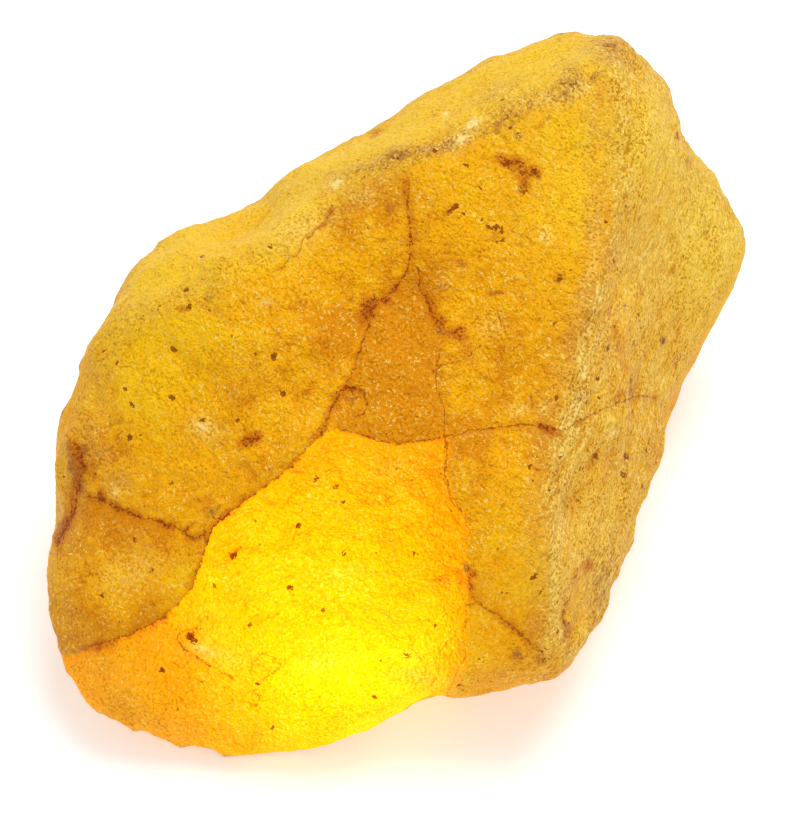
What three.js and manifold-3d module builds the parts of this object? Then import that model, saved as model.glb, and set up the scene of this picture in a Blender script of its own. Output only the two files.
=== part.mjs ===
// A rough yellow sapphire: one loose, water-worn lump of crystal, lying on its own broken base.
// The lump is a ball of directions pushed out to a set of worn faces, then hollowed, swollen and stepped.
// Millimetres, +Z up, +Y along the stone's length, origin under the middle of its box on the surface.
import * as THREE from 'three';
import { mergeVertices } from 'three/addons/utils/BufferGeometryUtils.js';
import Module from 'manifold-3d';

const wasm = await Module();
wasm.setup();

// Driving dimensions
const heartHeight = 13.5; // the heart, where every face is measured from, above the middle of the base
const edgeSharpness = 24; // higher keeps the edges between faces crisper
const meshRings = 21; // triangles: 20 x (meshRings + 1) squared
const meshStretch = new THREE.Vector3(17, 27, 13); // evens the triangles out over the long body

// Worn faces: compass bearing and upward slope of the face's outward normal, and its distance from the heart
const faces = {
  broadTop: { bearing: -61, slope: 71, distance: 10.5 },
  broadLeft: { bearing: -96, slope: 46, distance: 13.2 },
  front: { bearing: -61, slope: 25, distance: 15.2 },
  brow: { bearing: -61, slope: 48, distance: 13.3 },
  rightFlank: { bearing: 11, slope: 18, distance: 15.1 },
  rightBrink: { bearing: 31, slope: 37, distance: 20.6 },
  topStrip: { bearing: 171, slope: 52, distance: 15.0 },
  topStripFar: { bearing: 158, slope: 58, distance: 16.2 },
  topBack: { bearing: 151, slope: 6, distance: 16.9 },
  topBackFar: { bearing: 144, slope: 11, distance: 18.3 },
  shoulder: { bearing: -176, slope: 19, distance: 19.9 },
  leftUpper: { bearing: -159, slope: 8, distance: 21.0 },
  leftEnd: { bearing: -142, slope: 6, distance: 23.6 },
  leftLower: { bearing: -136, slope: -12, distance: 27.4 },
  nearCorner: { bearing: -108, slope: -24, distance: 29.0 },
  heel: { bearing: -71, slope: -24, distance: 28.6 },
  toe: { bearing: -43, slope: -26, distance: 21.5 },
  rightUndercut: { bearing: -29, slope: -42, distance: 22.2 },
  rightCorner: { bearing: 4, slope: -19, distance: 20.8 },
  rightLower: { bearing: 21, slope: -14, distance: 19.1 },
  knobUnder: { bearing: 26, slope: -36, distance: 25.0 },
  knobSide: { bearing: 45, slope: -16, distance: 29.0 },
  farUpper: { bearing: 64, slope: 8, distance: 27.6 },
  apex: { bearing: 79, slope: 27, distance: 29.3 },
  apexLeft: { bearing: 109, slope: 29, distance: 27.2 },
  backLeft: { bearing: 168, slope: -22, distance: 16.2 },
  backMiddle: { bearing: 138, slope: -30, distance: 16.8 },
  backRight: { bearing: 106, slope: -12, distance: 22.6 },
  underFront: { bearing: -80, slope: -58, distance: 24.0 },
  underLeft: { bearing: -165, slope: -52, distance: 18.5 },
  underBack: { bearing: 118, slope: -58, distance: 17.2 },
  underRight: { bearing: -5, slope: -60, distance: 16.4 },
};

// Hollows, and swellings where the depth is negative: place from the heart, depth, and spread
const hollows = {
  shoulderNotch: { at: [-13.2, 1.4, 8.2], depth: 0.9, spread: 2.4 },
  brinkNotch: { at: [7.8, 24.8, 5.6], depth: 1.0, spread: 2.2 },
  flankNotch: { at: [14.6, 11.1, -5.1], depth: 0.9, spread: 1.4 },
  frontArch: { at: [11.6, -15.6, -8.8], depth: 1.3, spread: 2.4 },
  neck: { at: [-15.6, -13.9, 3.4], depth: 1.5, spread: 2.1 },
  broadHollow: { at: [2.7, 0.9, 10.9], depth: 0.9, spread: 6.5 },
  bowl: { at: [1.5, -7.4, 8.6], depth: 0.5, spread: 1.6 },
  pillow: { at: [5.2, -15.8, 0.0], depth: -0.9, spread: 5.0 },
  flankValley: { at: [10.7, 16.1, 5.4], depth: 0.9, spread: 3.2 },
  endChip: { at: [-13.8, -18.8, -1.5], depth: 0.8, spread: 2.4 },
  ovalSpall: { at: [-1.0, -21.4, -4.2], depth: 0.4, spread: 1.6 },
  cornerHollow: { at: [17.7, -6.3, -2.6], depth: 0.6, spread: 1.8 },
  knob: { at: [13.0, 23.0, -3.0], depth: -3.4, spread: 3.2 },
  backScoop: { at: [-13.0, 9.0, -1.0], depth: 1.8, spread: 4.2 },
  backScoopHigh: { at: [-6.0, 20.0, 4.0], depth: 0.8, spread: 3.0 },
  backKnob: { at: [-15.5, -3.0, -4.0], depth: -1.3, spread: 3.0 },
  farScoop: { at: [-4.0, 20.5, -6.5], depth: 1.6, spread: 3.4 },
  lowScoop: { at: [-13.0, -7.0, -9.5], depth: 1.2, spread: 2.8 },
  stripBite: { at: [-10.6, 11.0, 8.6], depth: 0.6, spread: 2.2 },
  backBite: { at: [-15.0, 5.0, 4.0], depth: 0.9, spread: 1.9 },
  underBite: { at: [15.5, 4.0, -9.0], depth: 1.1, spread: 2.6 },
  farUnderScoop: { at: [8.0, 21.0, -9.0], depth: 1.2, spread: 3.2 },
  nearUnderScoop: { at: [-4.0, -22.0, -10.5], depth: 0.9, spread: 2.6 },
  flankSwell: { at: [16.0, 3.0, 3.0], depth: -0.5, spread: 3.0 },
};

// Ledges, where a break stepped from one layer to the next: a point on it, the way the ground drops, the
// height of the step, how far it runs, and how steep it is
const ledges = {
  flakeLedge: { at: [-5.6, -2.6, 9.4], bearing: 10, slope: -5, drop: 0.35, reach: 4.0, ramp: 0.35 },
  flankLedge: { at: [15.4, 8.0, -1.0], bearing: 80, slope: 40, drop: 0.45, reach: 5.0, ramp: 0.4 },
  backLedge: { at: [-12.0, 12.0, -4.0], bearing: 60, slope: 50, drop: 1.3, reach: 7.0, ramp: 0.45 },
  backLedgeLow: { at: [-14.5, -2.0, -8.0], bearing: 150, slope: 75, drop: 1.0, reach: 6.0, ramp: 0.5 },
  farLedge: { at: [2.0, 25.0, -5.0], bearing: -20, slope: 35, drop: 0.9, reach: 6.0, ramp: 0.5 },
  endLedge: { at: [-10.5, -19.5, -9.5], bearing: -170, slope: -50, drop: 0.7, reach: 3.5, ramp: 0.45 },
  shoulderLedge: { at: [-12.0, -6.0, 6.5], bearing: -100, slope: 20, drop: 0.4, reach: 4.5, ramp: 0.4 },
  underLedge: { at: [14.5, 3.0, -10.5], bearing: 95, slope: -20, drop: 0.8, reach: 4.0, ramp: 0.45 },
  frontLedge: { at: [13.0, -12.0, -6.0], bearing: 0, slope: 60, drop: 0.5, reach: 4.5, ramp: 0.45 },
};

// Slow swells of a water-worn skin: height, waves along x, y and z, and where they start
const swells = [
  { height: 0.32, first: [0.31, 0.24, -0.27, 1.0], second: [-0.22, 0.26, 0.3, Math.PI / 2] },
  { height: 0.12, first: [0.4, 0.63, 0.45, 2.1], second: [0.61, 0.2, -0.5, 0.4] },
];

// A unit vector from a compass bearing (from +X towards +Y) and a slope above the horizon, in degrees
function pointing(bearing, slope) {
  const level = THREE.MathUtils.degToRad(bearing);
  const rise = THREE.MathUtils.degToRad(slope);
  return new THREE.Vector3(
    Math.cos(rise) * Math.cos(level),
    Math.cos(rise) * Math.sin(level),
    Math.sin(rise),
  );
}

const faceList = Object.values(faces).map((face) => ({
  normal: pointing(face.bearing, face.slope),
  distance: face.distance,
}));
const hollowList = Object.values(hollows).map((hollow) => ({
  ...hollow,
  at: new THREE.Vector3(...hollow.at),
}));
const ledgeList = Object.values(ledges).map((ledge) => ({
  ...ledge,
  at: new THREE.Vector3(...ledge.at),
  down: pointing(ledge.bearing, ledge.slope),
}));

// How far the faces let a direction go: each face would stop it at distance / (direction . normal), and a
// high power sum takes nearly the nearest of them, rounding the edge between two faces
function reachOfFaces(direction) {
  let sum = 0;
  for (const { normal, distance } of faceList) {
    sum += Math.max(0, direction.dot(normal) / distance) ** edgeSharpness;
  }
  return sum ** (-1 / edgeSharpness);
}

// Hollows are bell curves round their places
function hollowDepth(point) {
  let depth = 0;
  for (const { at, depth: deepest, spread } of hollowList) {
    depth += deepest * Math.exp(-point.distanceToSquared(at) / (2 * spread * spread));
  }
  return depth;
}

// A ledge is a smooth step across a plane, fading out along its reach
function ledgeDepth(point) {
  let depth = 0;
  for (const { at, down, drop, reach, ramp } of ledgeList) {
    const offset = point.clone().sub(at);
    const step = 0.5 * (1 + Math.tanh(offset.dot(down) / ramp));
    depth += drop * step * Math.exp(-offset.lengthSq() / (2 * reach * reach));
  }
  return depth;
}

// Swells are products of two sine waves that cross at odd angles
function swellDepth(point) {
  const wave = ([x, y, z, start]) => Math.sin(x * point.x + y * point.y + z * point.z + start);
  return swells.reduce((depth, { height, first, second }) => depth + height * wave(first) * wave(second), 0);
}

// The skin's place in one direction: the faces' reach less the relief
function skinPoint(direction) {
  const reach = reachOfFaces(direction);
  const point = direction.clone().multiplyScalar(reach);
  const worn = reach - hollowDepth(point) - ledgeDepth(point) - swellDepth(point);
  return point.copy(direction).multiplyScalar(worn);
}

// A closed geometry's shared vertices are merged, and it becomes a solid that can be cut
function solidFrom(geometry) {
  const bare = geometry.index ? geometry.toNonIndexed() : geometry.clone();
  bare.deleteAttribute('normal');
  bare.deleteAttribute('uv');
  const merged = mergeVertices(bare);
  return new wasm.Manifold(new wasm.Mesh({
    numProp: 3,
    vertProperties: new Float32Array(merged.attributes.position.array),
    triVerts: new Uint32Array(merged.index.array),
  }));
}

function geometryFrom(solid) {
  const { vertProperties, triVerts } = solid.getMesh();
  const geometry = new THREE.BufferGeometry();
  geometry.setAttribute('position', new THREE.BufferAttribute(vertProperties, 3));
  geometry.setIndex(new THREE.BufferAttribute(triVerts, 1));
  geometry.computeVertexNormals();
  return geometry;
}

// The whole lump, worn all round, with its heart at heartHeight
function makeLump() {
  const lump = new THREE.IcosahedronGeometry(1, meshRings);
  const positions = lump.attributes.position;
  const direction = new THREE.Vector3();
  for (let i = 0; i < positions.count; i += 1) {
    direction.fromBufferAttribute(positions, i).multiply(meshStretch).normalize();
    const point = skinPoint(direction);
    positions.setXYZ(i, point.x, point.y, point.z + heartHeight);
  }
  return lump;
}

// Everything under the base, which broke off flat
function makeBreak() {
  const side = 100;
  const below = new THREE.BoxGeometry(side, side, side);
  below.translate(0, 0, -side / 2);
  return below;
}

const amberCrystal = new THREE.MeshStandardMaterial({ color: 0xdf9f12, roughness: 0.55, metalness: 0 });

const stone = solidFrom(makeLump()).subtract(solidFrom(makeBreak()));
const sapphire = new THREE.Mesh(geometryFrom(stone), amberCrystal);
sapphire.name = 'sapphire';

const group = new THREE.Group();
group.add(sapphire);

export default group;
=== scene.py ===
import bpy
import numpy as np
from mathutils import Matrix, Vector


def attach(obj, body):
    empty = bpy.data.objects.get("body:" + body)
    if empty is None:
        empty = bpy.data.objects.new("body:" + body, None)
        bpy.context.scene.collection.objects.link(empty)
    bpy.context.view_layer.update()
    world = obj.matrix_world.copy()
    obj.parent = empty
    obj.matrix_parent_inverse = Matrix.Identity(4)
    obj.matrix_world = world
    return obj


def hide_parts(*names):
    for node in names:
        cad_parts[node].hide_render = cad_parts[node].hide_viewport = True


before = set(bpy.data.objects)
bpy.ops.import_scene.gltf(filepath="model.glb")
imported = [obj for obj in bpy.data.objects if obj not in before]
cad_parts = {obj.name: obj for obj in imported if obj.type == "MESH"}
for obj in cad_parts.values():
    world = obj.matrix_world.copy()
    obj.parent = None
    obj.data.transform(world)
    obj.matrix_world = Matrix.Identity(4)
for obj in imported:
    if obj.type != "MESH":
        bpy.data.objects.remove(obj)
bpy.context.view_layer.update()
print("frame loaded")

millimetre = 0.001

# the camera: where it stands round the heart of the stone, and how many millimetres a pixel covers there
cameraPlan = {
    "azimuth": 33.0,  # degrees, 0 looks along +Y
    "elevation": 55.0,
    "distance": 240.0,  # mm from the heart
    "pixelSize": 0.066,  # mm
    "frame": (794, 831),  # pixels
    "rise": 1.55,  # mm, the frame's middle below the heart
    "clip": (0.01, 20.0),  # m, nearest and farthest thing shown
}

# the stone's worn form, in millimetres from its heart, as the solid has it
stoneForm = {
    "heartHeight": 13.5,
    "edgeSharpness": 24,
    "patchSide": 128,  # squares along a side of each of the six patches
    "stretch": (17.0, 27.0, 13.0),
}

# face: bearing and slope of its outward normal in degrees, distance from the heart
stoneFaces = {
    "broadTop": (-61, 71, 10.5),
    "broadLeft": (-96, 46, 13.2),
    "front": (-61, 25, 15.2),
    "brow": (-61, 48, 13.3),
    "rightFlank": (11, 18, 15.1),
    "rightBrink": (31, 37, 20.6),
    "topStrip": (171, 52, 15.0),
    "topStripFar": (158, 58, 16.2),
    "topBack": (151, 6, 16.9),
    "topBackFar": (144, 11, 18.3),
    "shoulder": (-176, 19, 19.9),
    "leftUpper": (-159, 8, 21.0),
    "leftEnd": (-142, 6, 23.6),
    "leftLower": (-136, -12, 27.4),
    "nearCorner": (-108, -24, 29.0),
    "heel": (-71, -24, 28.6),
    "toe": (-43, -26, 21.5),
    "rightUndercut": (-29, -42, 22.2),
    "rightCorner": (4, -19, 20.8),
    "rightLower": (21, -14, 19.1),
    "knobUnder": (26, -36, 25.0),
    "knobSide": (45, -16, 29.0),
    "farUpper": (64, 8, 27.6),
    "apex": (79, 27, 29.3),
    "apexLeft": (109, 29, 27.2),
    "backLeft": (168, -22, 16.2),
    "backMiddle": (138, -30, 16.8),
    "backRight": (106, -12, 22.6),
    "underFront": (-80, -58, 24.0),
    "underLeft": (-165, -52, 18.5),
    "underBack": (118, -58, 17.2),
    "underRight": (-5, -60, 16.4),
}

# hollows, and swellings where the depth is negative: place from the heart, depth, spread
stoneHollows = {
    "shoulderNotch": ((-13.2, 1.4, 8.2), 0.9, 2.4),
    "brinkNotch": ((7.8, 24.8, 5.6), 1.0, 2.2),
    "flankNotch": ((14.6, 11.1, -5.1), 0.9, 1.4),
    "frontArch": ((11.6, -15.6, -8.8), 1.3, 2.4),
    "neck": ((-15.6, -13.9, 3.4), 1.5, 2.1),
    "broadHollow": ((2.7, 0.9, 10.9), 0.9, 6.5),
    "bowl": ((1.5, -7.4, 8.6), 0.5, 1.6),
    "pillow": ((5.2, -15.8, 0.0), -0.9, 5.0),
    "flankValley": ((10.7, 16.1, 5.4), 0.9, 3.2),
    "endChip": ((-13.8, -18.8, -1.5), 0.8, 2.4),
    "ovalSpall": ((-1.0, -21.4, -4.2), 0.4, 1.6),
    "cornerHollow": ((17.7, -6.3, -2.6), 0.6, 1.8),
    "knob": ((13.0, 23.0, -3.0), -3.4, 3.2),
    "backScoop": ((-13.0, 9.0, -1.0), 1.8, 4.2),
    "backScoopHigh": ((-6.0, 20.0, 4.0), 0.8, 3.0),
    "backKnob": ((-15.5, -3.0, -4.0), -1.3, 3.0),
    "farScoop": ((-4.0, 20.5, -6.5), 1.6, 3.4),
    "lowScoop": ((-13.0, -7.0, -9.5), 1.2, 2.8),
    "stripBite": ((-10.6, 11.0, 8.6), 0.6, 2.2),
    "backBite": ((-15.0, 5.0, 4.0), 0.9, 1.9),
    "underBite": ((15.5, 4.0, -9.0), 1.1, 2.6),
    "farUnderScoop": ((8.0, 21.0, -9.0), 1.2, 3.2),
    "nearUnderScoop": ((-4.0, -22.0, -10.5), 0.9, 2.6),
    "flankSwell": ((16.0, 3.0, 3.0), -0.5, 3.0),
}

# ledges of the breaks: a point, bearing and slope of the way down, drop, reach, ramp
stoneLedges = {
    "flakeLedge": ((-5.6, -2.6, 9.4), 10, -5, 0.35, 4.0, 0.35),
    "flankLedge": ((15.4, 8.0, -1.0), 80, 40, 0.45, 5.0, 0.4),
    "backLedge": ((-12.0, 12.0, -4.0), 60, 50, 1.3, 7.0, 0.45),
    "backLedgeLow": ((-14.5, -2.0, -8.0), 150, 75, 1.0, 6.0, 0.5),
    "farLedge": ((2.0, 25.0, -5.0), -20, 35, 0.9, 6.0, 0.5),
    "endLedge": ((-10.5, -19.5, -9.5), -170, -50, 0.7, 3.5, 0.45),
    "shoulderLedge": ((-12.0, -6.0, 6.5), -100, 20, 0.4, 4.5, 0.4),
    "underLedge": ((14.5, 3.0, -10.5), 95, -20, 0.8, 4.0, 0.45),
    "frontLedge": ((13.0, -12.0, -6.0), 0, 60, 0.5, 4.5, 0.45),
}

# slow swells of the worn skin: height, and two waves, each along x, y, z with its start
stoneSwells = {
    "long": (0.32, (0.31, 0.24, -0.27, 1.0), (-0.22, 0.26, 0.3, np.pi / 2)),
    "short": (0.12, (0.4, 0.63, 0.45, 2.1), (0.61, 0.2, -0.5, 0.4)),
}

# relief finer than the solid's: height and size in millimetres, and the seed of its noise
reliefSizes = {
    "lumps": (0.20, 3.6, 11),
    "knobs": (0.12, 1.4, 23),
    "grain": (0.08, 0.5, 37),
}


def pointing(bearing, slope):
    # unit vector: (cos slope * cos bearing, cos slope * sin bearing, sin slope)
    level, rise = np.radians(bearing), np.radians(slope)
    return np.array([np.cos(rise) * np.cos(level), np.cos(rise) * np.sin(level), np.sin(rise)])


def ballDirections(side, stretch):
    # six patches of a cube, each a square grid of (u, v) at even angles, pushed out along the long axes
    # and brought back to unit length; patch by patch, so that u turned into v points outwards
    steps = np.tan(np.linspace(-1, 1, side + 1) * np.pi / 4)
    u, v = np.meshgrid(steps, steps, indexing="ij")
    one = np.ones_like(u)
    patches = [(one, u, v), (-one, v, u), (v, one, u), (u, -one, v), (u, v, one), (v, u, -one)]
    grid = np.stack([np.stack(patch, axis=-1) for patch in patches]) * np.array(stretch)
    return grid / np.linalg.norm(grid, axis=-1, keepdims=True)


def weldedGrid(directions):
    # points that two or three patches share become one; returns the points and the four corners of each square
    count, side = directions.shape[0], directions.shape[1] - 1
    keys = np.round(directions.reshape(-1, 3) * 1e6).astype(np.int64)  # points closer than a millionth are one
    _, first, number = np.unique(keys, axis=0, return_index=True, return_inverse=True)
    number = number.reshape(count, side + 1, side + 1)
    corners = [number[:, :-1, :-1], number[:, 1:, :-1], number[:, 1:, 1:], number[:, :-1, 1:]]
    squares = np.stack(corners, axis=-1).reshape(-1, 4)
    return directions.reshape(-1, 3)[first], squares


def softNoise(points, size, seed):
    # value noise from -1 to 1: hashed numbers at the corners of cubes of that size, blended smoothly between
    cell = np.floor(points / size).astype(np.int64)
    part = points / size - cell
    part = part**3 * (part * (part * 6 - 15) + 10)
    total = np.zeros(len(points))
    for corner in range(8):
        bits = np.array([corner & 1, corner >> 1 & 1, corner >> 2 & 1])
        x, y, z = (cell + bits).T
        mixed = (x * 374761393 + y * 668265263 + z * 1440662683 + seed * 1274126177) & 0xFFFFFFFF
        mixed = (mixed ^ (mixed >> 13)) * 1274126177 & 0xFFFFFFFF
        mixed = (mixed ^ (mixed >> 16)) & 0xFFFF
        total += np.prod(np.where(bits, part, 1 - part), axis=1) * mixed
    return total / 0xFFFF * 2 - 1


def layeredNoise(points, size, seed, layers=3):
    # soft noise plus ever finer layers, each half the size and 0.55 of the height of the last; their mean, times 1.5,
    # fills about -1 to 1
    total, height, weight = 0, 1.0, 0
    for layer in range(layers):
        total = total + height * softNoise(points, size / 2**layer, seed + layer)
        weight, height = weight + height, height * 0.55
    return total / weight * 1.5


def faceShares(directions):
    # each face would stop a direction at distance / (direction . normal); the high power of its inverse is
    # that face's share, and their sum to the power -1 / sharpness is the reach
    sharpness = stoneForm["edgeSharpness"]
    normals = np.array([pointing(bearing, slope) for bearing, slope, _ in stoneFaces.values()])
    distances = np.array([distance for _, _, distance in stoneFaces.values()])
    shares = np.maximum(0, directions @ normals.T / distances) ** sharpness
    total = shares.sum(axis=1)
    return total ** (-1 / sharpness), shares / total[:, None], normals


def wornAway(points):
    # what the hollows (bell curves), ledges (smooth steps that fade) and swells (crossed sines) take off
    gone = np.zeros(len(points))
    for place, depth, spread in stoneHollows.values():
        gone += depth * np.exp(-((points - place) ** 2).sum(axis=1) / (2 * spread**2))
    for place, bearing, slope, drop, reach, ramp in stoneLedges.values():
        offset = points - place
        step = 0.5 * (1 + np.tanh(offset @ pointing(bearing, slope) / ramp))
        gone += drop * step * np.exp(-(offset**2).sum(axis=1) / (2 * reach**2))
    for height, first, second in stoneSwells.values():
        waves = [np.sin(points @ wave[:3] + wave[3]) for wave in (first, second)]
        gone += height * waves[0] * waves[1]
    return gone


def cameraAxes():
    # right, up and towards the camera, as unit vectors
    turn, rise = np.radians(cameraPlan["azimuth"]), np.radians(cameraPlan["elevation"])
    right = np.array([np.cos(turn), np.sin(turn), 0])
    towards = np.array([np.sin(turn) * np.cos(rise), -np.cos(turn) * np.cos(rise), np.sin(rise)])
    return right, np.cross(towards, right), towards


def inFrame(points):
    # where points from the heart, in millimetres, fall in the frame, in pixels: across and down
    right, up, towards = cameraAxes()
    offset = points + up * cameraPlan["rise"]
    nearness = cameraPlan["distance"] / (cameraPlan["distance"] - offset @ towards)
    scale = nearness / cameraPlan["pixelSize"]
    middle = np.array(cameraPlan["frame"]) / 2
    return middle[0] + offset @ right * scale, middle[1] - offset @ up * scale


def fromLine(across, down, line):
    # signed distance in millimetres from a run of frame points, and how far along it the nearest place is (0 to 1)
    line = np.array(line, float)
    lengths = np.hypot(*np.diff(line, axis=0).T)
    starts = np.concatenate([[0], np.cumsum(lengths)])
    nearest = np.full(len(across), 1e9)
    side, along = np.zeros(len(across)), np.zeros(len(across))
    for (x, y), (stepX, stepY), length, start in zip(line, np.diff(line, axis=0), lengths, starts):
        place = ((across - x) * stepX + (down - y) * stepY) / length**2
        held = np.clip(place, 0, 1)
        gap = np.hypot(across - x - held * stepX, down - y - held * stepY)
        nearer = gap < nearest
        nearest = np.where(nearer, gap, nearest)
        side = np.where(nearer, np.sign(stepX * (down - y) - stepY * (across - x)), side)
        along = np.where(nearer, (start + held * length) / starts[-1], along)
    side = np.where(side == 0, 1, side)
    return side * nearest * cameraPlan["pixelSize"], along


def insideOutline(across, down, outline):
    # signed distance in millimetres from a closed outline, positive inside: a ray to the right crosses it an odd
    # number of times
    closed = list(outline) + [outline[0]]
    odd = np.zeros(len(across), bool)
    for (x, y), (nextX, nextY) in zip(closed[:-1], closed[1:]):
        spans = (y > down) != (nextY > down)
        crossing = x + (down - y) * (nextX - x) / (nextY - y + 1e-12)  # 1e-12 keeps it from dividing by 0
        odd ^= spans & (across < crossing)
    return np.where(odd, 1, -1) * np.abs(fromLine(across, down, closed)[0])


# cracks over the skin, as points of the frame: the group that keeps each apart from those it meets, half width in
# millimetres, and how rusty its margin is
stoneCracks = {
    "longCrack": ("first", 0.068, 0.55, [
        (405, 165), (409, 185), (407, 205), (411, 232), (410, 258), (406, 272), (398, 283), (388, 292), (375, 300),
        (371, 316), (366, 330), (358, 352), (352, 375), (344, 388), (336, 400), (328, 413), (325, 425), (317, 438),
        (306, 450), (296, 462), (282, 474), (265, 487), (247, 499), (237, 507), (222, 518), (212, 528), (206, 543),
        (202, 558), (196, 573), (190, 588), (177, 606), (162, 619), (140, 631), (112, 641), (92, 646), (76, 655),
    ]),
    "rightBranch": ("second", 0.06, 0.6, [
        (411, 262), (418, 270), (420, 285), (428, 297), (432, 312), (441, 323), (450, 333), (460, 330), (470, 325),
    ]),
    "acrossCrack": ("third", 0.055, 0.35, [
        (335, 430), (352, 432), (365, 437), (378, 441), (396, 444), (410, 442), (422, 441), (434, 440), (446, 437),
        (462, 433), (482, 430), (505, 428), (531, 425), (548, 429), (562, 431), (580, 420), (600, 411), (620, 402),
        (640, 396), (655, 398), (668, 401),
    ]),
    "leftCrack": ("second", 0.085, 0.65, [
        (80, 497), (95, 498), (105, 500), (116, 508), (128, 513), (140, 520), (150, 520), (161, 527), (172, 530),
        (182, 536), (192, 541), (201, 536), (205, 527),
    ]),
    "endCrack": ("third", 0.09, 0.8, [
        (75, 440), (80, 455), (83, 470), (77, 486), (74, 500), (72, 515), (62, 533), (55, 548),
    ]),
    "downCrack": ("fourth", 0.045, 0.15, [
        (440, 350), (436, 370), (437, 390), (443, 405), (446, 420), (444, 437), (445, 455), (445, 470), (449, 487),
        (452, 502), (460, 512),
    ]),
    "cornerCrack": ("fourth", 0.07, 0.5, [
        (466, 563), (469, 573), (470, 585), (473, 600), (484, 608), (498, 616), (509, 625), (518, 632), (530, 643),
        (541, 652),
    ]),
    "smallLedge": ("fifth", 0.045, 0.1, [
        (430, 375), (443, 365), (455, 362), (468, 357), (480, 345), (484, 354), (492, 365),
    ]),
    "flakeRim": ("fifth", 0.06, 0.4, [
        (335, 205), (328, 215), (318, 228), (311, 236), (305, 240), (300, 250), (285, 262), (268, 271),
    ]),
    "bowlRim": ("fourth", 0.045, 0.3, [
        (345, 385), (352, 388), (362, 389), (366, 398), (367, 409), (362, 415), (352, 419),
    ]),
    "spallRim": ("fifth", 0.075, 0.4, [
        (240, 680), (228, 673), (215, 668), (203, 661), (192, 655), (183, 648), (177, 639), (180, 632), (188, 629),
        (205, 628),
    ]),
    "palePool": ("fifth", 0.045, 0.15, [(470, 325), (478, 317), (489, 315), (498, 318), (502, 328), (505, 338)]),
    "cellEdge": ("second", 0.03, 0.1, [
        (445, 437), (447, 455), (444, 470), (447, 485), (451, 500), (462, 512), (470, 530), (463, 545), (461, 558),
    ]),
    "litBranch": ("fourth", 0.08, 0.45, [(428, 584), (440, 578), (452, 574), (461, 573)]),
    "litBranchLow": ("fifth", 0.06, 0.35, [(440, 618), (453, 613), (465, 608), (477, 607)]),
    "litFold": ("fourth", 0.065, 0.25, [(258, 652), (268, 655), (277, 660), (279, 668), (272, 676), (262, 681)]),
    "lowFold": ("fourth", 0.06, 0.2, [(244, 694), (252, 692), (260, 696), (258, 704), (250, 709)]),
    "hollowRim": ("fifth", 0.055, 0.4, [
        (577, 562), (574, 575), (571, 590), (566, 602), (563, 615), (566, 628), (573, 636),
    ]),
    "lowRightLine": ("third", 0.035, 0.1, [
        (465, 575), (458, 590), (466, 605), (467, 622), (462, 640), (466, 655), (457, 672), (450, 690), (444, 701),
    ]),
}

# cells of the stone between the cracks: how far lighter (+) or deeper (-) they are, and outline in the frame
stoneCells = {
    "litCell": (0.0, [
        (60, 655), (76, 655), (92, 646), (112, 641), (140, 631), (162, 619), (177, 606), (190, 588), (202, 558),
        (212, 528), (222, 518), (247, 499), (282, 474), (306, 450), (325, 433), (335, 430), (352, 432), (378, 441),
        (396, 444), (422, 441), (446, 437), (447, 455), (444, 470), (447, 485), (451, 500), (462, 512), (470, 530),
        (463, 545), (466, 563), (470, 585), (466, 605), (467, 622), (462, 640), (466, 655), (457, 672), (450, 690),
        (444, 701), (440, 740), (380, 800), (60, 800),
    ]),
    "endCell": (-0.35, [
        (40, 590), (60, 582), (65, 545), (72, 500), (95, 498), (116, 508), (140, 520), (172, 530), (192, 541),
        (205, 527), (212, 528), (202, 558), (190, 588), (162, 619), (112, 641), (76, 655), (40, 660),
    ]),
    "neckCell": (-0.4, [
        (410, 258), (420, 285), (432, 312), (450, 333), (440, 350), (437, 390), (446, 420), (446, 437), (422, 441),
        (396, 444), (378, 441), (352, 432), (335, 430), (325, 425), (336, 400), (352, 375), (366, 330), (375, 300),
        (398, 283),
    ]),
    "cornerCell": (0.25, [
        (466, 563), (470, 585), (484, 608), (498, 616), (518, 632), (500, 660), (470, 690), (444, 701), (457, 672),
        (466, 655), (462, 640), (467, 622), (466, 605),
    ]),
}

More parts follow.
